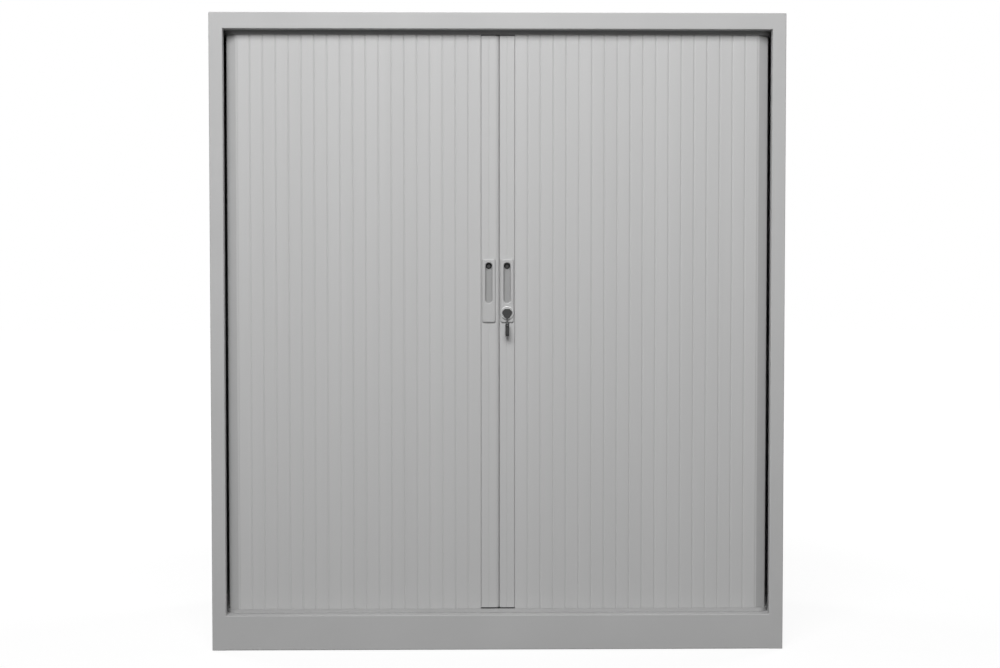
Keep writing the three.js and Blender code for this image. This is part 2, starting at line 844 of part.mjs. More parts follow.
// Foot bracket, z 0 under the base panel: a saddle with a hole for the foot's stem
function footBracket() {
  const half = bracketSide / 2;
  const low = -fit - bracketHeight;
  const plate = [low, low + bracketThickness];
  const hole = new THREE.Shape();
  hole.absarc(0, 0, stemRadius + fit, 0, Math.PI * 2);
  return cut(
    join(
      box([-half, half], [-half, half], plate),
      box([-half, bracketThickness - half], [-half, half], [low, -fit]),
      box([half - bracketThickness, half], [-half, half], [low, -fit]),
    ),
    raise(hole, plate[0] - overrun, plate[1] + overrun, rodSteps),
  );
}

// Levelling foot: a pad on the floor and a threaded stem
function foot() {
  const profile = turn([
    [0, 0],
    [footRadius, 0],
    [footRadius, footHeight - footTaper],
    [footNeck, footHeight],
    [stemRadius, footHeight],
    [stemRadius, stemTop],
    [0, stemTop],
  ]);
  return profile.rotateX(Math.PI / 2);
}

function addCarcass(group) {
  piece("left_side_panel", sidePanel(-1), paint, group);
  piece("right_side_panel", sidePanel(1), paint, group);
  piece("top_panel", topPanel(), paint, group);
  piece("back_panel", backPanel(), paint, group);
  piece("plinth_panel", plinthPanel(), paint, group);
  piece("base_panel", trayPanel(), paint, group).position.z = baseTop;
  const innerTop = piece("inner_top_panel", trayPanel(), paint, group);
  innerTop.rotation.y = Math.PI;
  innerTop.position.z = lipBase;
  piece("left_inner_side", innerSide(-1), paint, group);
  piece("right_inner_side", innerSide(1), paint, group);
}

function addTracks(group) {
  piece("bottom_track", track(), trackPlastic, group).position.z = trackBase;
  const top = piece("top_track", track(), trackPlastic, group);
  top.rotation.y = Math.PI;
  top.position.z = trackTop;
}

const sides = [["left", -1], ["right", 1]];
const rows = [["front", uprightFrontY], ["rear", uprightRearY]];
const shelves = [["lower", lowerShelfSteps], ["upper", upperShelfSteps]];

// The middle of one of an upright's holes, counted from the lowest
function holeZ(index) {
  return uprightBase + holeMargin + index * holePitch;
}

function addInterior(group) {
  for (const [sideName, side] of sides) {
    for (const [rowName, y] of rows) {
      const post = piece(`${sideName}_${rowName}_upright`, upright(), paint, group);
      post.position.set(side * uprightInner, y, uprightBase);
      post.rotation.z = side > 0 ? 0 : Math.PI;
      for (const [shelfName, hole] of shelves) {
        const clip = piece(`${shelfName}_shelf_${sideName}_${rowName}_clip`, shelfClip(), zincSteel, group);
        clip.position.set(side * uprightInner, y, holeZ(hole));
        clip.rotation.z = side > 0 ? 0 : Math.PI;
      }
    }
  }
  for (const [shelfName, hole] of shelves) {
    piece(`${shelfName}_shelf`, shelf(), paint, group).position.z = holeZ(hole) + clipThickness / 2 + fit;
  }
}

function addFeet(group) {
  for (const [sideName, side] of sides) {
    for (const [rowName, y] of [["front", front + footInset], ["rear", back - footInset]]) {
      const x = side * (halfWidth - footInset);
      const bracket = piece(`${sideName}_${rowName}_foot_bracket`, footBracket(), paint, group);
      bracket.position.set(x, y, baseTop - sheet);
      piece(`${sideName}_${rowName}_foot`, foot(), nylon, group).position.set(x, y, 0);
    }
  }
}

function addDoor(name, side, group) {
  piece(`${name}_curtain`, curtain(side), slatPlastic, group);
  const lead = new THREE.Group();
  lead.position.set(side * stileMiddle, stileFront, 0);
  group.add(lead);
  const barrelHole = rod(0, lockZ, barrelRadius + fit, -overrun, stileThickness + overrun);
  const rearWall = [stileThickness - stileWall - overrun, stileThickness + overrun];
  const screwHoles = keeperScrewHeights.map((z) => {
    return rod(0, keeperPinZ + z, keeperScrewRadius + fit, ...rearWall);
  });
  const holes = side > 0 ? [barrelHole] : screwHoles;
  const bar = stile(side, cupHole(), handleScrewHole(handleScrewZ, rearWall), ...holes);
  piece(`${name}_stile`, side > 0 ? bar : join(bar, meetingStrip()), slatPlastic, lead);
  piece(`${name}_bottom_shoe`, shoe(), nylon, lead).position.z = stileBase;
  const topShoe = piece(`${name}_top_shoe`, shoe(), nylon, lead);
  topShoe.position.z = stileTop;
  topShoe.rotation.y = Math.PI;
  const plateHoles = side > 0 ? [rod(0, lockRise, barrelRadius + fit, -overrun, handleProud + overrun)] : [];
  const plate = piece(`${name}_handle`, handle(...plateHoles), handlePlastic, lead);
  plate.position.set(0, plateFront - stileFront, handleBase);
  const bolt = screw(handleScrewRadius, handleScrewLength, handleScrewHeadRadius, handleScrewHeadHeight);
  const placed = piece(`${name}_handle_screw`, bolt, blackSteel, lead);
  placed.position.set(0, plateFront - stileFront + slotDeep - fit, handleScrewZ);
  placed.rotation.z = Math.PI;
}

function addLock(group) {
  const lock = new THREE.Group();
  lock.position.set(stileMiddle, plateFront, lockZ);
  group.add(lock);
  piece("lock_barrel", lockBarrel(), chrome, lock);
  piece("lock_nut", lockNut(), zincSteel, lock);
  piece("lock_plug", lockPlug(), chrome, lock);
  piece("lock_hook", lockHook(), zincSteel, lock);
  const hookScrew = screw(hookScrewRadius, hookScrewLength, hookScrewHeadRadius, hookScrewHeadHeight);
  piece("hook_screw", hookScrew, zincSteel, lock).position.y = hookBack + fit;
  piece("key", key(), zincSteel, lock);
  piece("key_cap", keyCap(), bowPlastic, lock);
  piece("key_bow", keyBow(), bowPlastic, lock);
  piece("key_pin", keyPin(), zincSteel, lock);
}

function addKeeper(group) {
  piece("lock_keeper", keeper(), zincSteel, group).position.set(keeperPinX, stileBack + fit, keeperPinZ);
  const bolt = screw(keeperScrewRadius, keeperScrewLength, keeperScrewHeadRadius, keeperScrewHeadHeight);
  keeperScrewHeights.forEach((z, i) => {
    const placed = piece(`keeper_screw_${i + 1}`, bolt, zincSteel, group);
    placed.position.set(-stileMiddle, stileBack + fit + keeperThickness + fit, keeperPinZ + z);
  });
}

const cabinet = new THREE.Group();
addCarcass(cabinet);
addTracks(cabinet);
addInterior(cabinet);
addFeet(cabinet);
for (const [name, side] of sides) {
  addDoor(name, side, cabinet);
}
addLock(cabinet);
addKeeper(cabinet);

export default cabinet;
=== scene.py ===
import math

import bmesh
import bpy
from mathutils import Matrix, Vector
from mathutils.geometry import tessellate_polygon


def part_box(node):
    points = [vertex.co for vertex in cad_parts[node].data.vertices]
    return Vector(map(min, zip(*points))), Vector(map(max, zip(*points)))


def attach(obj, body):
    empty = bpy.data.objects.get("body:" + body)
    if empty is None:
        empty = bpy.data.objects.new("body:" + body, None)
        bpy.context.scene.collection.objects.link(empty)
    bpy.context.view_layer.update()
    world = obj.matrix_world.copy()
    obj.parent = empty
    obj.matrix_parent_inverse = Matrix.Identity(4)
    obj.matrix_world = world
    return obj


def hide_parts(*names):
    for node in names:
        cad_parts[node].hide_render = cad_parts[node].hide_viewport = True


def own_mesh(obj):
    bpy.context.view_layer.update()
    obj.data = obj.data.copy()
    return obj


# Lengths are in metres and angles in degrees. The front faces -Y and the floor is at z 0.

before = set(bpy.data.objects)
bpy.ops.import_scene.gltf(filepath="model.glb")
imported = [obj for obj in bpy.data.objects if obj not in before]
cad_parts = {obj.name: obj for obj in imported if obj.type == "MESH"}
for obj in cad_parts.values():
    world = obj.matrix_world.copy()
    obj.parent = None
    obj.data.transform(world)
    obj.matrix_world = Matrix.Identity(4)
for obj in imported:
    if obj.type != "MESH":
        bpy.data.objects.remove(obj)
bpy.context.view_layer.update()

# Shading
SMOOTH_ANGLE = 40

# Sheet-metal shell
SHEET = 0.001
FIT = 0.0003
FOLD_RADIUS = 0.0016
FOLD_STEPS = 4
FOLD_ANGLE = 45
ROUND_PROFILE = 0.5
RETURN_DEPTH = 0.015
REAR_FLANGE = 0.012
REAR_MARGIN = 0.0004

# Slatted curtains
SLAT_PITCH = 0.02045
SLAT_THICKNESS = 0.006
SLAT_TAPER = 0.003
STRAIGHT_SLOPE = 0.001
BEND_RADIUS = 0.015
GROOVE_HALF_WIDTH = 0.0027
GROOVE_DEPTH = 0.0009
GROOVE_STEPS = 6
WEB_HALF_WIDTH = 0.0012
WEB_DEPTH = 0.002
HALVINGS = 40

# Lead bars
BAR_WALL = 0.0015
BAR_ROUND = 0.0014
NOSE_WIDTH = 0.0075
NOSE_DEPTH = 0.0048
BAR_STEPS = 8
LINE_WIDTH = 0.0018
LINE_DEPTH = 0.0004
STRIP_THICKNESS = 0.0022

# Handles
PLATE_ROUND = 0.004
PLATE_EDGE = 0.0024
SLOT_WIDTH = 0.0105
SLOT_HEIGHT = 0.064
SLOT_BASE = 0.032
SLOT_SHALLOW = 0.006
SLOT_MIDDLE = 0.008
SLOT_DEEP = 0.010
SLOT_DEEP_HEIGHT = 0.012
SLOT_STEP = 0.002
SLOT_RIM = 0.0018
# Painted shade in the finger slot: the share the handle colour falls to at the slot's depth.
SLOT_PAINTED_SHADE = 0.62
CUP_WALL = 0.0012
CORNER_STEPS = 6
EDGE_RINGS = 4
SCREW_HEAD = 0.0024
SCREW_SHANK = 0.00175
SCREW_SOCKET = 0.0022
SOCKET_SIDES = 6
SOCKET_DEPTH = 0.0012
CROWN_SHARE = 1.2

# Lock
TURN_STEPS = 64
HEAD_ROUND = 0.0009
RIM_WIDTH = 0.0022
RIM_DROP = 0.0005
RIM_ANGLE = 210
BARREL_RADIUS = 0.008
BORE_RADIUS = 0.0061
PLUG_EDGE = 0.0003
PLUG_TAIL = 0.006
KEYWAY_WIDTH = 0.0026
KEYWAY_HEIGHT = 0.0076
KEYWAY_DEPTH = 0.0163

# Key
CAP_SKIN = 0.001
CAP_EDGE = 0.0008
CAP_FOOT = 0.0048
CAP_CORNER = 0.0035
CAP_STRAIGHT = 0.0064
CAP_SOFTNESS = 0.0012
CAP_SLOT = 0.003
BLADE_HEIGHT = 0.007
BLADE_THICKNESS = 0.002
BLADE_CUT = 0.0011
BLADE_CUTS = 4
CUT_SHARE = 1 / 3
TONGUE_RADIUS = 0.0025
PIN_HOLE = 0.0012
BOW_NOSE = 0.0024
BOW_SHOULDER = 0.007
BOW_ROUND = 0.005
BOW_EDGE = 0.001
FORK_SLOT = 0.003
FORK_DROP = 0.0031

# Finishes: tones as sRGB levels, spans of roughness, and each relief as (grains, depth)
SRGB_OFFSET = 0.055
SRGB_POWER = 2.4
POWDER = {"tones": (185, 189), "roughness": (0.55, 0.65), "reliefs": [(900, 0.00003), (60, 0.00001)]}
POWDER_SPECULAR = 0.35
SLAT = {"tones": (188, 192), "roughness": (0.5, 0.6), "reliefs": [(400, 0.00002)]}
SLAT_STRETCH = (3, 3, 0.03)
HANDLE = {"tones": (180, 185), "roughness": (0.38, 0.48), "reliefs": [(1500, 0.00002)]}
# Lit and shaded copies of one track plastic: the top track's darker tone is painted shade under the top lip,
# and the bottom track's lighter tone is painted light on the ledge.
SHADED_TRACK = {"tones": (142, 150), "roughness": (0.5, 0.6), "reliefs": [(700, 0.00002)]}
LIT_TRACK = {"tones": (172, 178), "roughness": (0.5, 0.6), "reliefs": [(700, 0.00002)]}
NYLON = {"tones": (40, 46), "roughness": (0.45, 0.6), "reliefs": [(1200, 0.00003)]}
GRIP = {"tones": (20, 26), "roughness": (0.35, 0.5), "reliefs": [(2000, 0.00003)]}
NICKEL = {"tones": (172, 180), "roughness": (0.4, 0.5), "reliefs": [(300, 0.000004)]}
# Painted shade: the plug is darker than the head's nickel to stand in for the shade inside the lock.
SHADED_PLUG = {"tones": (120, 130), "roughness": (0.25, 0.4), "reliefs": [(1500, 0.00001)]}
# Painted shade: the key steel is darker than the zinc to stand in for the shade on the link below the cap.
SHADED_KEY_STEEL = {"tones": (82, 92), "roughness": (0.65, 0.75), "reliefs": [(900, 0.00001)]}
ZINC = {"tones": (150, 162), "roughness": (0.3, 0.45), "reliefs": [(900, 0.00001)]}
ZINC_STRETCH = (1, 1, 8)
BLACK_STEEL = {"tones": (58, 64), "roughness": (0.35, 0.5), "reliefs": [(900, 0.00001)]}
EVEN_STRETCH = (1, 1, 1)
PLAIN_SPECULAR = 0.5
TONE_GRAINS = 7
TONE_DETAIL = 6
GLOSS_GRAINS = 23
FINE_DETAIL = 3
NOISE_SPAN = (0.3, 0.7)

# Camera
LENS_PIXELS = 1887.4
IMAGE_WIDTH = 1000
SENSOR = 36
VIEW_END = 100
CAMERA_PLACE = (-0.050, -3.235, 0.639)
CAMERA_PITCH = 2.51
CAMERA_YAW = 1.01

# Light
WHITE = (1, 1, 1, 1)
WORLD_LIGHT = 0.1
FLOOR_TONE = 0.15
FLOOR_GLOW = 0.88
FAR_GLOW = 0.99
GLOW_START = 0.9
GLOW_END = 2.4
FLOOR_HALF = 12
KEY_PLACE = (-0.3, -2.9, 2.4)
KEY_AIM = (0, -0.2, 1.0)
KEY_SIZE = (2.0, 1.3)
KEY_POWER = 76
KEY_SPREAD = 160
UPPER_PLACE = (-0.3, -3.0, 2.1)
UPPER_AIM = (0, -0.2, 1.15)
UPPER_SIZE = (1.0, 0.6)
UPPER_POWER = 0.5
UPPER_SPREAD = 50
REAR_PLACE = (2.8, 2.4, 2.2)
REAR_AIM = (0, 0, 0.5)
REAR_SIZE = (1.5, 1.5)
REAR_POWER = 60
WIDE_SPREAD = 180

SIDES = (("left", -1), ("right", 1))


# Meshes

def carve(piece, cutter_bm):
    """Cuts a closed shape out of a piece."""
    bmesh.ops.recalc_face_normals(cutter_bm, faces=cutter_bm.faces)
    cutter = bpy.data.objects.new("cutter", bpy.data.meshes.new("cutter"))
    cutter_bm.to_mesh(cutter.data)
    cutter_bm.free()
    bpy.context.scene.collection.objects.link(cutter)
    cut = piece.modifiers.new("cut", "BOOLEAN")
    cut.operation = "DIFFERENCE"
    cut.solver = "EXACT"
    cut.object = cutter
    bpy.context.view_layer.update()
    graph = bpy.context.evaluated_depsgraph_get()
    shaped = bpy.data.meshes.new_from_object(piece.evaluated_get(graph))
    piece.modifiers.clear()
    piece.data = shaped
    bpy.data.objects.remove(cutter)


def shade(mesh):
    """Smooth across shallow edges, sharp across others."""
    bm = bmesh.new()
    bm.from_mesh(mesh)
    for face in bm.faces:
        face.smooth = True
    for edge in bm.edges:
        edge.smooth = edge.calc_face_angle(math.pi) < math.radians(SMOOTH_ANGLE)
    bm.to_mesh(mesh)
    bm.free()


def place(name, bm, material, slot, body, *replaced, cutter=None):
    """The bmesh as a piece that rides on a body and may stand for CAD nodes."""
    bmesh.ops.recalc_face_normals(bm, faces=bm.faces)
    mesh = bpy.data.meshes.new(name)
    bm.to_mesh(mesh)
    bm.free()
    mesh.materials.append(material)
    piece = bpy.data.objects.new(name, mesh)
    bpy.context.scene.collection.objects.link(piece)
    if cutter:
        carve(piece, cutter)
    shade(piece.data)
    even = piece.modifiers.new("even_shading", "WEIGHTED_NORMAL")
    even.keep_sharp = True
    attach(piece, body)
    if replaced:
        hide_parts(*replaced)
    return piece


def ring(bm, points):
    return [bm.verts.new(point) for point in points]


def band(bm, first, second):
    """Faces between two closed rings with the same number of points."""
    for i in range(len(first)):
        j = (i + 1) % len(first)
        bm.faces.new((first[i], first[j], second[j], second[i]))


def skin(bm, rings):
    for first, second in zip(rings, rings[1:]):
        band(bm, first, second)


def lid(bm, outer, *holes):
    """A flat face inside one ring and outside the others."""
    loops = [outer, *holes]
    verts = [vert for loop in loops for vert in loop]
    for corners in tessellate_polygon([[vert.co for vert in loop] for loop in loops]):
        bm.faces.new([verts[i] for i in corners])


def ladder(bm, loop):
    """Faces across an upright loop that is its own mirror image, from one height to the next."""
    ordered = sorted(loop, key=lambda vert: (round(vert.co.z, 6), vert.co.x))
    rows = list(zip(ordered[::2], ordered[1::2]))
    for (a, b), (c, d) in zip(rows, rows[1:]):
        bm.faces.new((a, b, d, c))


def prism(bm, outline, start, end, to_point, *holes):
    """A closed prism of a plane outline between two levels, with holes right through."""
    loops = (outline, *holes)
    ends = [
        [ring(bm, [to_point(u, v, level) for u, v in loop]) for loop in loops]
        for level in (start, end)
    ]
    for near, far in zip(*ends):
        band(bm, near, far)
    for rings in ends:
        lid(bm, *rings)


def arc(centre, radii, start, end, steps):
    """Points on a stretch of an ellipse, both ends included, angles in degrees."""
    angles = [math.radians(start + (end - start) * i / steps) for i in range(steps + 1)]
    return [(centre[0] + radii[0] * math.cos(a), centre[1] + radii[1] * math.sin(a)) for a in angles]


def circle(u, v, radius, steps=TURN_STEPS):
    return arc((u, v), (radius, radius), 0, 360, steps)[:-1]


def rounded_outline(u, v, width, height, radius, steps=CORNER_STEPS):
    """A rectangle with round corners about (u, v), anticlockwise."""
    du, dv = width / 2 - radius, height / 2 - radius
    corners = (((1, 1), 0), ((-1, 1), 90), ((-1, -1), 180), ((1, -1), 270))
    points = []
    for (su, sv), turn in corners:
        points += arc((u + su * du, v + sv * dv), (radius, radius), turn, turn + 90, steps)
    return points


def softened(corners, reach):
    """A polygon with a curve in place of each corner, from a reach before it to a reach after it."""
    points = []
    for i, corner in enumerate(corners):
        here, before, after = Vector(corner), Vector(corners[i - 1]), Vector(corners[(i + 1) % len(corners)])
        start = here + (before - here).normalized() * reach
        end = here + (after - here).normalized() * reach
        for step in range(CORNER_STEPS + 1):
            t = step / CORNER_STEPS
            points.append(tuple(start * (1 - t) ** 2 + here * 2 * t * (1 - t) + end * t ** 2))
    return points


def shrunk(outline, inset):
    """An anticlockwise outline moved inward, square to itself at each point."""
    moved = []
    for i, (u, v) in enumerate(outline):
        (u0, v0), (u1, v1) = outline[i - 1], outline[(i + 1) % len(outline)]
        length = math.hypot(u1 - u0, v1 - v0)
        moved.append((u - inset * (v1 - v0) / length, v + inset * (u1 - u0) / length))
    return moved


def pillow(bm, outline, start, end, edge, to_point, both=True):
    """A plate between two levels whose rim is rounded at its end, and at its start too where both is set."""
    turns = arc((0, 0), (edge, edge), 0, 90, EDGE_RINGS)
    near = [(edge - out, start + edge - drop) for out, drop in reversed(turns)] if both else [(0, start)]
    far = [(edge - out, end - edge + drop) for out, drop in turns]
    rings = [
        ring(bm, [to_point(u, v, level) for u, v in shrunk(outline, inset)])
        for inset, level in near + far
    ]
    skin(bm, rings)
    lid(bm, rings[0])
    lid(bm, rings[-1])


def turned(bm, x, z, profile, closed=False):
    """A shape turned about a line along y, from radii and depths, with flat ends unless it is closed."""
    rings = [ring(bm, [(u, y, v) for u, v in circle(x, z, radius)]) for radius, y in profile]
    skin(bm, rings)
    if closed:
        band(bm, rings[-1], rings[0])
    else:
        lid(bm, rings[0])
        lid(bm, rings[-1])


def middle(*names):
    """The middle of the box round some nodes."""
    boxes = [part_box(name) for name in names]
    low = [min(box[0][i] for box in boxes) for i in range(3)]
    high = [max(box[1][i] for box in boxes) for i in range(3)]
    return Vector([(a + b) / 2 for a, b in zip(low, high)])


# Materials

def node(tree, kind, **inputs):
    made = tree.nodes.new(kind)
    for key, value in inputs.items():
        made.inputs[key.replace("_", " ")].default_value = value
    return made


def grain(tree, source, scale, detail=FINE_DETAIL):
    """A noise texture on object coordinates; its first output is the value."""
    noise = node(tree, "ShaderNodeTexNoise", Scale=scale, Detail=detail)
    tree.links.new(source, noise.inputs["Vector"])
    return noise.outputs[0]


def spread(tree, value, low, high):
    """A noise value stretched to run from low to high."""
    start, end = NOISE_SPAN
    ranged = node(tree, "ShaderNodeMapRange", From_Min=start, From_Max=end, To_Min=low, To_Max=high)
    tree.links.new(value, ranged.inputs["Value"])
    return ranged.outputs["Result"]


def grey(level):
    """A linear colour from an sRGB level of 0 to 255."""
    linear = ((level / 255 + SRGB_OFFSET) / (1 + SRGB_OFFSET)) ** SRGB_POWER
    return (linear, linear, linear, 1.0)


def surface(name, finish, metallic=0, stretch=EVEN_STRETCH, specular=PLAIN_SPECULAR):
    """A procedural surface whose tone, gloss and relief vary a little from place to place."""
    material = bpy.data.materials.new(name)
    material.use_nodes = True
    tree = material.node_tree
    shader = tree.nodes["Principled BSDF"]
    shader.inputs["Metallic"].default_value = metallic
    shader.inputs["Specular IOR Level"].default_value = specular
    places = node(tree, "ShaderNodeTexCoord")
    mapping = node(tree, "ShaderNodeMapping", Scale=stretch)
    tree.links.new(places.outputs["Object"], mapping.inputs["Vector"])
    along = mapping.outputs["Vector"]

    tone = tree.nodes.new("ShaderNodeMix")
    tone.data_type = "RGBA"
    factor = spread(tree, grain(tree, along, TONE_GRAINS, TONE_DETAIL), 0, 1)
    tree.links.new(factor, tone.inputs["Factor"])
    colours = [socket for socket in tone.inputs if socket.type == "RGBA"]
    for socket, level in zip(colours, finish["tones"]):
        socket.default_value = grey(level)
    output = next(socket for socket in tone.outputs if socket.type == "RGBA")
    tree.links.new(output, shader.inputs["Base Color"])

    gloss = spread(tree, grain(tree, along, GLOSS_GRAINS), *finish["roughness"])
    tree.links.new(gloss, shader.inputs["Roughness"])

    normal = None
    for scale, depth in finish["reliefs"]:
        bump = node(tree, "ShaderNodeBump", Strength=1.0, Distance=depth)
        tree.links.new(grain(tree, along, scale), bump.inputs["Height"])
        if normal:
            tree.links.new(normal, bump.inputs["Normal"])
        normal = bump.outputs["Normal"]
    tree.links.new(normal, shader.inputs["Normal"])
    return material


def paint_depth_shade(material, start, end, share):
    """Paints shade into a surface's colour, which falls to a share of itself from one depth in y to another.
    """
    tree = material.node_tree
    base = tree.nodes["Principled BSDF"].inputs["Base Color"]
    split = tree.nodes.new("ShaderNodeSeparateXYZ")
    tree.links.new(node(tree, "ShaderNodeTexCoord").outputs["Object"], split.inputs[0])
    ranged = node(tree, "ShaderNodeMapRange", From_Min=start, From_Max=end, To_Min=1, To_Max=share)
    tree.links.new(split.outputs["Y"], ranged.inputs["Value"])
    scaled = tree.nodes.new("ShaderNodeVectorMath")
    scaled.operation = "SCALE"
    tree.links.new(base.links[0].from_socket, scaled.inputs[0])
    tree.links.new(ranged.outputs["Result"], scaled.inputs["Scale"])
    tree.links.new(scaled.outputs[0], base)


powder = surface("powder_coat", POWDER, specular=POWDER_SPECULAR)
slat_face = surface("slat_face", SLAT, stretch=SLAT_STRETCH)
handle_face = surface("handle_face", HANDLE)
# The same track plastic twice: a darker copy with painted shade for the top track and a lighter copy with
# painted light for the bottom track.
shaded_track_face = surface("shaded_track_face", SHADED_TRACK)
lit_track_face = surface("lit_track_face", LIT_TRACK)
nylon_face = surface("nylon_face", NYLON)
grip_face = surface("grip_face", GRIP)
nickel_face = surface("nickel_face", NICKEL, metallic=1)
# Painted shade: a darker metal for the plug in place of the lock's shade.
shaded_plug_face = surface("shaded_plug_face", SHADED_PLUG, metallic=1)
# Painted shade: a darkened steel for the key's blade, link and pin.
shaded_key_steel_face = surface("shaded_key_steel_face", SHADED_KEY_STEEL, metallic=1)
zinc_face = surface("zinc_face", ZINC, metallic=1, stretch=ZINC_STRETCH)
black_face = surface("black_face", BLACK_STEEL, metallic=1)

FINISHES = {
    "paint": powder,
    "slat_plastic": slat_face,
    "track_plastic": shaded_track_face,
    "handle_plastic": handle_face,
    "nylon": nylon_face,
    "bow_plastic": grip_face,
    "chrome": nickel_face,
    "black_steel": black_face,
    "zinc_steel": zinc_face,
}
# The bottom track takes the lighter copy of the track plastic, which is painted light. The plug takes a
# darker metal, which is painted shade.
OWN_FINISHES = {"bottom_track": lit_track_face, "lock_plug": shaded_plug_face}

plate_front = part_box("left_handle")[0].y
# Painted shade: the handle plastic darkens with depth inside the finger slots.
paint_depth_shade(handle_face, plate_front + SLOT_RIM, plate_front + SLOT_SHALLOW, SLOT_PAINTED_SHADE)


def dress_nodes():
    """Gives each CAD node the surface that goes with its slot in the record."""
    for name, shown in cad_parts.items():
        slots = shown.data.materials
        for i, old in enumerate(slots):
            known = old.name.split(".")[0]
            slots[i] = OWN_FINISHES.get(name) or FINISHES[known]


# Shell

def shell():
    """Sides, top and front frame as one folded and welded sheet."""
    outer_low, outer_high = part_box("left_side_panel")[0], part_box("right_side_panel")[1]
    plinth_low, plinth_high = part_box("plinth_panel")
    top_low, top_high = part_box("top_panel")
    front, inner = outer_low.y, plinth_high.x + FIT
    xs = (outer_low.x, -inner, inner, outer_high.x)
    zs = (plinth_low.z, plinth_high.z, top_low.z, top_high.z)
    rear, top_rear = outer_high.y, top_high.y - REAR_MARGIN
    inside = front + RETURN_DEPTH

    bm = bmesh.new()
    found = {}

    def vert(*point):
        key = tuple(round(c, 6) for c in point)
        if key not in found:
            found[key] = bm.verts.new(point)
        return found[key]

    def quad(*points):
        bm.faces.new([vert(*point) for point in points])

    for x0, x1 in ((xs[0], xs[1]), (xs[2], xs[3])):
        for z0, z1 in zip(zs, zs[1:]):
            quad((x0, front, z0), (x1, front, z0), (x1, front, z1), (x0, front, z1))
    for z0, z1 in ((zs[0], zs[1]), (zs[2], zs[3])):
        quad((xs[1], front, z0), (xs[2], front, z0), (xs[2], front, z1), (xs[1], front, z1))
    for x, flange in ((xs[0], xs[0] + REAR_FLANGE), (xs[3], xs[3] - REAR_FLANGE)):
        for z0, z1 in zip(zs, zs[1:]):
            quad((x, front, z0), (x, rear, z0), (x, rear, z1), (x, front, z1))
            if z1 < zs[3]:
                quad((x, rear, z0), (flange, rear, z0), (flange, rear, z1), (x, rear, z1))
    for x0, x1 in zip(xs, xs[1:]):
        quad((x0, front, zs[3]), (x1, front, zs[3]), (x1, rear, zs[3]), (x0, rear, zs[3]))
        quad((x0, rear, zs[3]), (x1, rear, zs[3]), (x1, top_rear, zs[3]), (x0, top_rear, zs[3]))
    for x in (xs[1], xs[2]):
        quad((x, front, zs[1]), (x, inside, zs[1]), (x, inside, zs[2]), (x, front, zs[2]))
    for z in zs[:3]:
        quad((xs[1], front, z), (xs[2], front, z), (xs[2], inside, z), (xs[1], inside, z))
    bmesh.ops.recalc_face_normals(bm, faces=bm.faces)
    return bm


def fold(bm):
    """Rounds the edges where the sheet turns, but not the weld lines inside the front opening."""

    def is_turn(edge):
        run = abs((edge.verts[0].co - edge.verts[1].co).y)
        is_weld = RETURN_DEPTH / 2 <= run <= RETURN_DEPTH * 2
        is_fold = len(edge.link_faces) == 2 and edge.calc_face_angle(0) > math.radians(FOLD_ANGLE)
        return is_fold and not is_weld

    bmesh.ops.bevel(
        bm,
        geom=[edge for edge in bm.edges if is_turn(edge)],
        offset=FOLD_RADIUS,
        segments=FOLD_STEPS,
        profile=ROUND_PROFILE,
        affect="EDGES",
        clamp_overlap=True,
    )
    return bm


def add_shell():
    panels = ("left_side_panel", "right_side_panel", "top_panel", "plinth_panel")
    body = place("shell", fold(shell()), powder, "paint", "cabinet", *panels)
    wall = body.modifiers.new("wall", "SOLIDIFY")
    wall.thickness = SHEET
    wall.offset = -1
    wall.use_even_offset = True
    body.modifiers.move(1, 0)


# Curtains

def hinge_point(run, start, bend_x, face_y):
    """The point on the curtain's face a given run from the lead bar, on the right-hand side."""
    straight = bend_x - start
    bend = BEND_RADIUS * math.pi / 2
    if run <= straight:
        return Vector((start + run, face_y))
    if run >= straight + bend:
        return Vector((bend_x + BEND_RADIUS, face_y + BEND_RADIUS + run - straight - bend))
    angle = (run - straight) / BEND_RADIUS
    across, inward = BEND_RADIUS * math.sin(angle), BEND_RADIUS * (1 - math.cos(angle))
    return Vector((bend_x + across, face_y + inward))


def hinge_line():
    """Every hinge from the lead bar to the curtain's tail, each one slat from the last in a straight line."""
    low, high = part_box("right_curtain")
    layout = (low.x, high.x - BEND_RADIUS, low.y)
    run, points = 0.0, [hinge_point(0.0, *layout)]
    while points[-1].y < high.y - SLAT_THICKNESS:
        near, far = run, run + SLAT_PITCH * 2
        for _ in range(HALVINGS):
            halfway = (near + far) / 2
            if (hinge_point(halfway, *layout) - points[-1]).length < SLAT_PITCH:
                near = halfway
            else:
                far = halfway
        run = near
        points.append(hinge_point(run, *layout))
    return points


class Slat:
    """One slat in plan: the way along it and the way into the cabinet."""

    def __init__(self, first, second):
        self.start = first
        self.length = (second - first).length
        self.along = (second - first).normalized()
        self.inward = Vector((-self.along.y, self.along.x))

    def place(self, run, depth):
        return self.start + self.along * run + self.inward * depth

    def front(self):
        """The face between its two hinges, falling softly into the groove at each end."""
        shares = [i / GROOVE_STEPS for i in range(1, GROOVE_STEPS + 1)]
        rise = [(GROOVE_HALF_WIDTH * t, GROOVE_DEPTH * (1 - t) ** 2) for t in shares]
        fall = [(self.length - run, depth) for run, depth in reversed(rise)]
        return [self.place(*point) for point in rise + fall]

    def rear(self):
        runs = (WEB_HALF_WIDTH, SLAT_TAPER, self.length - SLAT_TAPER, self.length - WEB_HALF_WIDTH)
        depths = (WEB_DEPTH, SLAT_THICKNESS, SLAT_THICKNESS, WEB_DEPTH)
        return [self.place(*point) for point in zip(runs, depths)]

    def whole(self):
        first, first_web = (self.place(0, depth) for depth in (GROOVE_DEPTH, WEB_DEPTH))
        last, last_web = (self.place(self.length, depth) for depth in (GROOVE_DEPTH, WEB_DEPTH))
        return [first, *self.front(), last, last_web, *self.rear()[::-1], first_web]


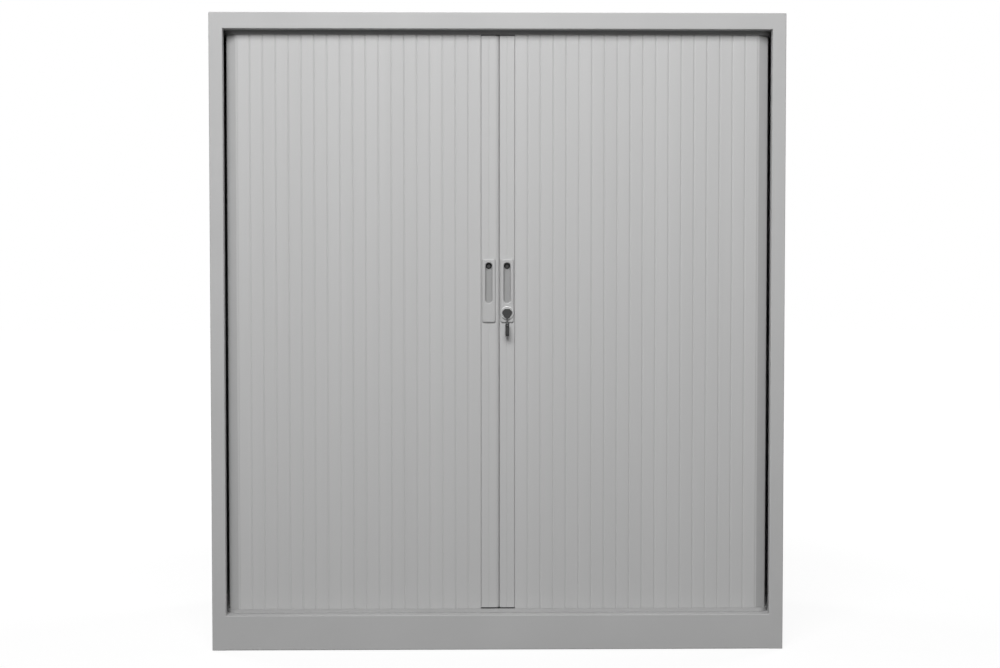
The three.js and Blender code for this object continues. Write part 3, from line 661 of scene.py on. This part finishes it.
def corner_outline(slats, first):
    """The slats from the given one to the curtain's tail as one sheet that bends at its grooves."""
    face, back = [], []
    for i in range(first, len(slats)):
        inward = (slats[i - 1].inward + slats[i].inward) / 2
        face += [slats[i].start + inward * GROOVE_DEPTH, *slats[i].front()]
        back += slats[i].rear()
    tail = slats[-1].place(slats[-1].length, GROOVE_DEPTH)
    return [*face, tail, *back[::-1], slats[first].start + slats[first - 1].inward * WEB_DEPTH]


def add_curtain(name, side):
    low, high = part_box(f"{name}_curtain")
    hinges = hinge_line()
    slats = [Slat(*pair) for pair in zip(hinges, hinges[1:])]
    turn = next(i for i, slat in enumerate(slats) if abs(slat.along.y) > STRAIGHT_SLOPE)

    def to_point(x, y, z):
        return (side * x, y, z)

    for i, slat in enumerate(slats[:turn]):
        bm = bmesh.new()
        prism(bm, slat.whole(), low.z, high.z, to_point)
        piece = place(f"{name}_slat_{i + 1:02d}", bm, slat_face, "slat_plastic", "cabinet")
        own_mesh(piece)
    corner = bmesh.new()
    prism(corner, corner_outline(slats, turn), low.z, high.z, to_point)
    place(f"{name}_corner_slats", corner, slat_face, "slat_plastic", "cabinet", f"{name}_curtain")


# Lead bars

def bar_outline(width, depth, reach):
    """A bar in plan from its meeting end, with a fine line down its face and a nose if it reaches further."""
    last = arc((width - BAR_ROUND, BAR_ROUND), (BAR_ROUND, BAR_ROUND), 270, 360, BAR_STEPS)
    line = arc((width / 2, 0), (LINE_WIDTH / 2, LINE_DEPTH), 180, 0, BAR_STEPS)
    face = [*line, *last, (width, depth), (0, depth)]
    if not reach:
        return [*arc((BAR_ROUND, BAR_ROUND), (BAR_ROUND, BAR_ROUND), 180, 270, BAR_STEPS), *face]
    nose = arc((NOSE_WIDTH - reach, NOSE_DEPTH), (NOSE_WIDTH, NOSE_DEPTH), 180, 270, BAR_STEPS * 2)
    strip = [(0, NOSE_DEPTH + STRIP_THICKNESS), (-reach, NOSE_DEPTH + STRIP_THICKNESS)]
    return [*nose, *face, *strip]


def bar_hollow(width, depth):
    return [
        (BAR_WALL, NOSE_DEPTH),
        (NOSE_WIDTH, BAR_WALL),
        (width - BAR_WALL, BAR_WALL),
        (width - BAR_WALL, depth - BAR_WALL),
        (BAR_WALL, depth - BAR_WALL),
    ]


def bar_cutter(name, side):
    """The room that the handle's cup takes in the bar, and the lock barrel on the right."""
    low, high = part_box(f"{name}_stile")
    plate_low, plate_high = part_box(f"{name}_handle")
    centre = middle(f"{name}_handle")
    cup_end = plate_high.y + FIT
    start = low.y - FIT
    bm = bmesh.new()

    def upright(x, z, y):
        return (x, y, z)

    slot_middle = plate_low.z + SLOT_BASE + SLOT_HEIGHT / 2
    grown = (CUP_WALL + FIT) * 2
    cup_size = (SLOT_WIDTH + grown, SLOT_HEIGHT + grown)
    cup = rounded_outline(centre.x, slot_middle, *cup_size, SLOT_WIDTH / 2 + CUP_WALL)
    prism(bm, cup, start, cup_end, upright)
    if side > 0:
        lock = middle("lock_barrel")
        prism(bm, circle(lock.x, lock.z, BARREL_RADIUS + FIT), start, high.y + FIT, upright)
    return bm


def add_bar(name, side):
    low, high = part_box(f"{name}_stile")
    inner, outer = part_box("right_stile")[0].x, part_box("right_stile")[1].x
    reach = inner + high.x if side < 0 else 0
    width, depth = outer - inner, high.y - low.y

    def to_point(x, y, z):
        return (side * (inner + x), low.y + y, z)

    bm = bmesh.new()
    prism(bm, bar_outline(width, depth, reach), low.z, high.z, to_point, bar_hollow(width, depth))
    room = bar_cutter(name, side)
    place(f"{name}_lead_bar", bm, slat_face, "slat_plastic", f"{name}_door", f"{name}_stile", cutter=room)


# Handles

def slot_depth(z):
    """Depth of the finger slot at a height above the plate's foot: a ramp, then a deeper pocket."""
    step = SLOT_BASE + SLOT_HEIGHT - SLOT_DEEP_HEIGHT
    ramp = min(max((z - SLOT_BASE) / (step - SLOT_BASE), 0), 1)
    drop = min(max((z - step) / SLOT_STEP, 0), 1)
    sloping = SLOT_SHALLOW + (SLOT_MIDDLE - SLOT_SHALLOW) * ramp
    return sloping + (SLOT_DEEP - SLOT_MIDDLE) * drop


def slot_outline(inset):
    """The finger slot, with points where its floor steps down."""
    middle_z = SLOT_BASE + SLOT_HEIGHT / 2
    half = SLOT_WIDTH / 2 - inset
    points = rounded_outline(0, middle_z, half * 2, SLOT_HEIGHT - inset * 2, half - FIT)
    step = SLOT_BASE + SLOT_HEIGHT - SLOT_DEEP_HEIGHT
    turn = len(points) // 2
    left_step = [(-half, step + SLOT_STEP), (-half, step)]
    right_step = [(half, step), (half, step + SLOT_STEP)]
    return [*points[:turn], *left_step, *points[turn:], *right_step]


def add_handle(name, side):
    low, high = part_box(f"{name}_handle")
    centre, height, width = (low.x + high.x) / 2, high.z - low.z, high.x - low.x
    plate_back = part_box(f"{name}_stile")[0].y - FIT - low.y
    slot_middle = SLOT_BASE + SLOT_HEIGHT / 2
    bm = bmesh.new()

    def loop(outline, depth):
        return ring(bm, [(centre + x, low.y + depth, low.z + z) for x, z in outline])

    def plate(inset):
        return rounded_outline(0, height / 2, width - inset * 2, height - inset * 2, PLATE_ROUND - inset)

    cup_size = (SLOT_WIDTH + CUP_WALL * 2, SLOT_HEIGHT + CUP_WALL * 2)
    cup = rounded_outline(0, slot_middle, *cup_size, SLOT_WIDTH / 2 + CUP_WALL - FIT)
    edge = arc((0, 0), (PLATE_EDGE, PLATE_EDGE), 0, 90, EDGE_RINGS)
    edge_rings = [loop(plate(PLATE_EDGE - out), PLATE_EDGE - drop) for out, drop in edge]
    sides = [loop(plate(0), plate_back), *edge_rings]
    rim_turns = arc((SLOT_RIM, 0), (SLOT_RIM, SLOT_RIM), 90, 180, EDGE_RINGS)
    rim = [loop(slot_outline(-out), SLOT_RIM - drop) for out, drop in rim_turns]
    skin(bm, sides)
    skin(bm, rim)
    floor = loop(slot_outline(0), SLOT_SHALLOW)
    for vert in floor:
        vert.co.y = low.y + slot_depth(vert.co.z - low.z)
    band(bm, rim[-1], floor)
    ladder(bm, floor)
    cup_mouth, cup_end = loop(cup, plate_back), loop(cup, SLOT_DEEP + CUP_WALL)
    band(bm, cup_mouth, cup_end)
    lid(bm, cup_end)
    holes_front, holes_back = [rim[0]], [cup_mouth]
    if side > 0:
        lock = middle("lock_barrel")
        bore = circle(lock.x - centre, lock.z - low.z, BARREL_RADIUS + FIT)
        near, far = loop(bore, 0), loop(bore, plate_back)
        band(bm, near, far)
        holes_front.append(near)
        holes_back.append(far)
    lid(bm, sides[-1], *holes_front)
    lid(bm, sides[0], *holes_back)
    place(f"{name}_pull", bm, handle_face, "handle_plastic", f"{name}_door", f"{name}_handle")


def add_screw(name):
    """The screw at the bottom of a finger slot, with a domed head and a hexagon socket."""
    low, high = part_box(f"{name}_handle_screw")
    centre = middle(f"{name}_handle_screw")
    radius = (high.x - low.x) / 2
    seat = low.y + SCREW_HEAD
    crown = SCREW_SOCKET * CROWN_SHARE
    bm = bmesh.new()
    dome = arc((crown, seat), (radius - crown, -SCREW_HEAD), 0, 90, EDGE_RINGS * 2)
    profile = [(SCREW_SHANK, high.y), (SCREW_SHANK, seat), (radius, seat), *dome[1:]]
    rings = [ring(bm, [(u, y, v) for u, v in circle(centre.x, centre.z, r)]) for r, y in profile]
    skin(bm, rings)
    lid(bm, rings[0])
    socket = circle(centre.x, centre.z, SCREW_SOCKET, SOCKET_SIDES)
    mouth = ring(bm, [(u, low.y, v) for u, v in socket])
    foot = ring(bm, [(u, low.y + SOCKET_DEPTH, v) for u, v in socket])
    band(bm, mouth, foot)
    lid(bm, foot)
    lid(bm, rings[-1], mouth)
    place(f"{name}_socket_screw", bm, black_face, "black_steel", f"{name}_door", f"{name}_handle_screw")


# Lock

def add_barrel():
    """The lock's tube and its head, with a raised round rim."""
    low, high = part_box("lock_barrel")
    lock = middle("lock_barrel")
    head = (high.x - low.x) / 2
    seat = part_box("right_handle")[0].y - FIT
    inner = head - RIM_WIDTH
    rounding = (HEAD_ROUND, HEAD_ROUND)
    outer_edge = arc((head - HEAD_ROUND, low.y + HEAD_ROUND), rounding, 270, 360, EDGE_RINGS)
    inner_edge = arc((inner + HEAD_ROUND, low.y + HEAD_ROUND), rounding, RIM_ANGLE, 270, EDGE_RINGS)
    profile = [
        (BORE_RADIUS, high.y),
        (BORE_RADIUS, low.y + RIM_DROP),
        *inner_edge,
        *outer_edge,
        (head, seat),
        (BARREL_RADIUS, seat),
        (BARREL_RADIUS, high.y),
    ]
    bm = bmesh.new()
    turned(bm, lock.x, lock.z, profile, closed=True)
    place("lock_head", bm, nickel_face, "chrome", "right_door", "lock_barrel")


def add_plug():
    """The plug with its keyway in front and a square tail behind."""
    low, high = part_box("lock_plug")
    lock = middle("lock_barrel")
    radius = (high.x - low.x) / 2
    drum_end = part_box("lock_barrel")[1].y
    bm = bmesh.new()

    def loop(outline, y):
        return ring(bm, [(lock.x + u, y, lock.z + v) for u, v in outline])

    profile = ((radius - PLUG_EDGE, low.y), (radius, low.y + PLUG_EDGE), (radius, drum_end))
    rings = [loop(circle(0, 0, r), y) for r, y in profile]
    skin(bm, rings)
    slot = rounded_outline(0, 0, KEYWAY_WIDTH, KEYWAY_HEIGHT, FIT)
    mouth, floor = loop(slot, low.y), loop(slot, low.y + KEYWAY_DEPTH)
    lid(bm, rings[0], mouth)
    band(bm, mouth, floor)
    lid(bm, floor)
    tail = rounded_outline(0, 0, PLUG_TAIL, PLUG_TAIL, FIT)
    root, end = loop(tail, drum_end), loop(tail, high.y)
    lid(bm, rings[-1], root)
    band(bm, root, end)
    lid(bm, end)
    place("keyed_plug", bm, shaded_plug_face, "chrome", "lock_plug", "lock_plug")


# Key

def blade_outline(start, end, z):
    """The blade from the side: a point and a row of shallow cuts along both edges."""
    half, run = BLADE_HEIGHT / 2, (end - start) / (BLADE_CUTS + 1)
    reach = run * CUT_SHARE
    lower = [(start, z - half)]
    for i in range(BLADE_CUTS):
        at = start + run * (i + 1)
        lower += [(at - reach, z - half), (at, z - half + BLADE_CUT), (at + reach, z - half)]
    tip = [(end - BLADE_CUT, z - half + BLADE_CUT), (end, z), (end - BLADE_CUT, z + half - BLADE_CUT)]
    upper = [(u, 2 * z - v) for u, v in reversed(lower)]
    return lower + tip + upper


def add_key():
    """The steel of the key: a blade, a hanging link and the tongue that the bow folds on."""
    low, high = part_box("key")
    cap_low, cap_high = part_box("key_cap")
    lock, pivot = middle("lock_barrel"), middle("key_pin")
    half = (high.x - low.x) / 2
    web_front, web_back = cap_low.y + CAP_SKIN + FIT, cap_high.y
    nose = arc((pivot.y, pivot.z), (TONGUE_RADIUS, TONGUE_RADIUS), 90, 270, CORNER_STEPS * 2)
    web = [(web_back, high.z), (web_front, high.z), (web_front, pivot.z + TONGUE_RADIUS)]
    link = [*web, *nose, (web_back, low.z)]
    bm = bmesh.new()

    def across(y, z, x):
        return (lock.x + x, y, z)

    prism(bm, link, -half, half, across, circle(pivot.y, pivot.z, PIN_HOLE))
    prism(bm, blade_outline(web_back, high.y, lock.z), -BLADE_THICKNESS / 2, BLADE_THICKNESS / 2, across)
    place("key_blade", bm, shaded_key_steel_face, "zinc_steel", "key", "key")


def add_cap():
    """The moulded cap in front of the lock, slotted at the back for the key's steel."""
    low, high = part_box("key_cap")
    lock = middle("lock_barrel")
    half, foot = (high.x - low.x) / 2, CAP_FOOT / 2
    top, bottom = high.z - lock.z, low.z - lock.z
    edge = [(foot, bottom), (half, top - CAP_STRAIGHT), (half, top - CAP_CORNER), (half - CAP_CORNER, top)]
    outline = softened(edge + [(-x, z) for x, z in reversed(edge)], CAP_SOFTNESS)

    def to_point(x, z, y):
        return (lock.x + x, y, lock.z + z)

    bm = bmesh.new()
    pillow(bm, outline, high.y, low.y, -CAP_EDGE, to_point, both=False)
    slot = bmesh.new()
    wall, slot_foot, slot_top = CAP_SLOT / 2, bottom - FIT, BLADE_HEIGHT / 2 + FIT
    sides = [(-wall, slot_foot), (wall, slot_foot), (wall, slot_top), (-wall, slot_top)]
    prism(slot, sides, low.y + CAP_SKIN, high.y + FIT, to_point)
    place("cap_shield", bm, grip_face, "bow_plastic", "key", "key_cap", cutter=slot)


def add_bow():
    """The flat grip seen edge on, forked at its round nose."""
    low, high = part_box("key_bow")
    pivot = middle("key_pin")
    half = (high.x - low.x) / 2
    shoulder = pivot.z - BOW_SHOULDER
    nose = arc((pivot.y, pivot.z), (BOW_NOSE, BOW_NOSE), 0, 180, CORNER_STEPS * 2)
    front = arc((low.y + BOW_ROUND, low.z + BOW_ROUND), (BOW_ROUND, BOW_ROUND), 180, 270, CORNER_STEPS)
    rear = arc((high.y - BOW_ROUND, low.z + BOW_ROUND), (BOW_ROUND, BOW_ROUND), 270, 360, CORNER_STEPS)
    outline = [*nose, (low.y, shoulder), *front, *rear, (high.y, shoulder)]

    def across(y, z, x):
        return (pivot.x + x, y, z)

    bm = bmesh.new()
    pillow(bm, outline, -half, half, BOW_EDGE, across)
    cutter = bmesh.new()
    base, top = pivot.z - FORK_DROP, high.z + FIT
    fork = [(low.y - FIT, base), (high.y + FIT, base), (high.y + FIT, top), (low.y - FIT, top)]
    prism(cutter, fork, -FORK_SLOT / 2, FORK_SLOT / 2, across)
    place("key_grip", bm, grip_face, "bow_plastic", "key_bow", "key_bow", cutter=cutter)


def add_pin():
    low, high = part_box("key_pin")
    pivot = middle("key_pin")
    radius = (high.y - low.y) / 2
    bm = bmesh.new()
    prism(bm, circle(pivot.y, pivot.z, radius), low.x, high.x, lambda y, z, x: (x, y, z))
    place("hinge_pin", bm, shaded_key_steel_face, "zinc_steel", "key_bow", "key_pin")


# Stage, camera and light

def add_camera():
    data = bpy.data.cameras.new("camera")
    data.sensor_width = SENSOR
    data.lens = LENS_PIXELS * SENSOR / IMAGE_WIDTH
    data.clip_end = VIEW_END
    camera = bpy.data.objects.new("camera", data)
    camera.location = CAMERA_PLACE
    camera.rotation_euler = (math.radians(90 - CAMERA_PITCH), 0, math.radians(-CAMERA_YAW))
    bpy.context.scene.collection.objects.link(camera)
    bpy.context.scene.camera = camera


def add_lamp(name, place_at, aim, size, power, spread=WIDE_SPREAD):
    data = bpy.data.lights.new(name, "AREA")
    data.shape = "RECTANGLE"
    data.size, data.size_y = size
    data.energy = power
    data.spread = math.radians(spread)
    lamp = bpy.data.objects.new(name, data)
    lamp.location = place_at
    lamp.rotation_euler = (Vector(aim) - Vector(place_at)).to_track_quat("-Z", "Y").to_euler()
    bpy.context.scene.collection.objects.link(lamp)


def seen_directly(tree):
    """1 for camera, glossy and transmission rays, else 0."""
    paths = tree.nodes.new("ShaderNodeLightPath")
    total = paths.outputs["Is Camera Ray"]
    for other in ("Is Glossy Ray", "Is Transmission Ray"):
        larger = tree.nodes.new("ShaderNodeMath")
        larger.operation = "MAXIMUM"
        tree.links.new(total, larger.inputs[0])
        tree.links.new(paths.outputs[other], larger.inputs[1])
        total = larger.outputs[0]
    return total


def add_world():
    world = bpy.data.worlds.new("studio")
    world.use_nodes = True
    tree = world.node_tree
    tree.nodes.clear()
    lit = node(tree, "ShaderNodeBackground", Color=WHITE, Strength=WORLD_LIGHT)
    seen = node(tree, "ShaderNodeBackground", Color=WHITE, Strength=1.0)
    mix = tree.nodes.new("ShaderNodeMixShader")
    output = tree.nodes.new("ShaderNodeOutputWorld")
    tree.links.new(seen_directly(tree), mix.inputs["Fac"])
    tree.links.new(lit.outputs[0], mix.inputs[1])
    tree.links.new(seen.outputs[0], mix.inputs[2])
    tree.links.new(mix.outputs[0], output.inputs["Surface"])
    bpy.context.scene.world = world


def add_floor():
    material = bpy.data.materials.new("pale_floor")
    material.use_nodes = True
    tree = material.node_tree
    tree.nodes.clear()
    matte = node(tree, "ShaderNodeBsdfDiffuse", Color=(FLOOR_TONE, FLOOR_TONE, FLOOR_TONE, 1))
    glow = node(tree, "ShaderNodeEmission", Color=WHITE)
    far = tree.nodes.new("ShaderNodeVectorMath")
    far.operation = "LENGTH"
    tree.links.new(node(tree, "ShaderNodeTexCoord").outputs["Object"], far.inputs[0])
    rising = node(
        tree, "ShaderNodeMapRange", From_Min=GLOW_START, From_Max=GLOW_END, To_Min=FLOOR_GLOW, To_Max=FAR_GLOW
    )
    tree.links.new(far.outputs["Value"], rising.inputs["Value"])
    strength = tree.nodes.new("ShaderNodeMath")
    strength.operation = "MULTIPLY"
    tree.links.new(seen_directly(tree), strength.inputs[0])
    tree.links.new(rising.outputs["Result"], strength.inputs[1])
    tree.links.new(strength.outputs[0], glow.inputs["Strength"])
    total = tree.nodes.new("ShaderNodeAddShader")
    output = tree.nodes.new("ShaderNodeOutputMaterial")
    tree.links.new(matte.outputs[0], total.inputs[0])
    tree.links.new(glow.outputs[0], total.inputs[1])
    tree.links.new(total.outputs[0], output.inputs["Surface"])
    corners = [(u * FLOOR_HALF, v * FLOOR_HALF, 0) for u, v in ((-1, -1), (1, -1), (1, 1), (-1, 1))]
    mesh = bpy.data.meshes.new("floor")
    mesh.from_pydata(corners, [], [(0, 1, 2, 3)])
    mesh.materials.append(material)
    floor = bpy.data.objects.new("floor", mesh)
    bpy.context.scene.collection.objects.link(floor)


dress_nodes()
add_shell()
for side_name, side_sign in SIDES:
    add_curtain(side_name, side_sign)
    add_bar(side_name, side_sign)
    add_handle(side_name, side_sign)
    add_screw(side_name)
add_barrel()
add_plug()
add_key()
add_cap()
add_bow()
add_pin()
add_camera()
add_world()
add_floor()
add_lamp("key_light", KEY_PLACE, KEY_AIM, KEY_SIZE, KEY_POWER, KEY_SPREAD)
add_lamp("upper_light", UPPER_PLACE, UPPER_AIM, UPPER_SIZE, UPPER_POWER, UPPER_SPREAD)
for side_name, side_sign in SIDES:
    rear_place = (side_sign * REAR_PLACE[0], *REAR_PLACE[1:])
    add_lamp(f"{side_name}_rear_light", rear_place, REAR_AIM, REAR_SIZE, REAR_POWER)
bpy.context.scene.view_settings.view_transform = "Standard"
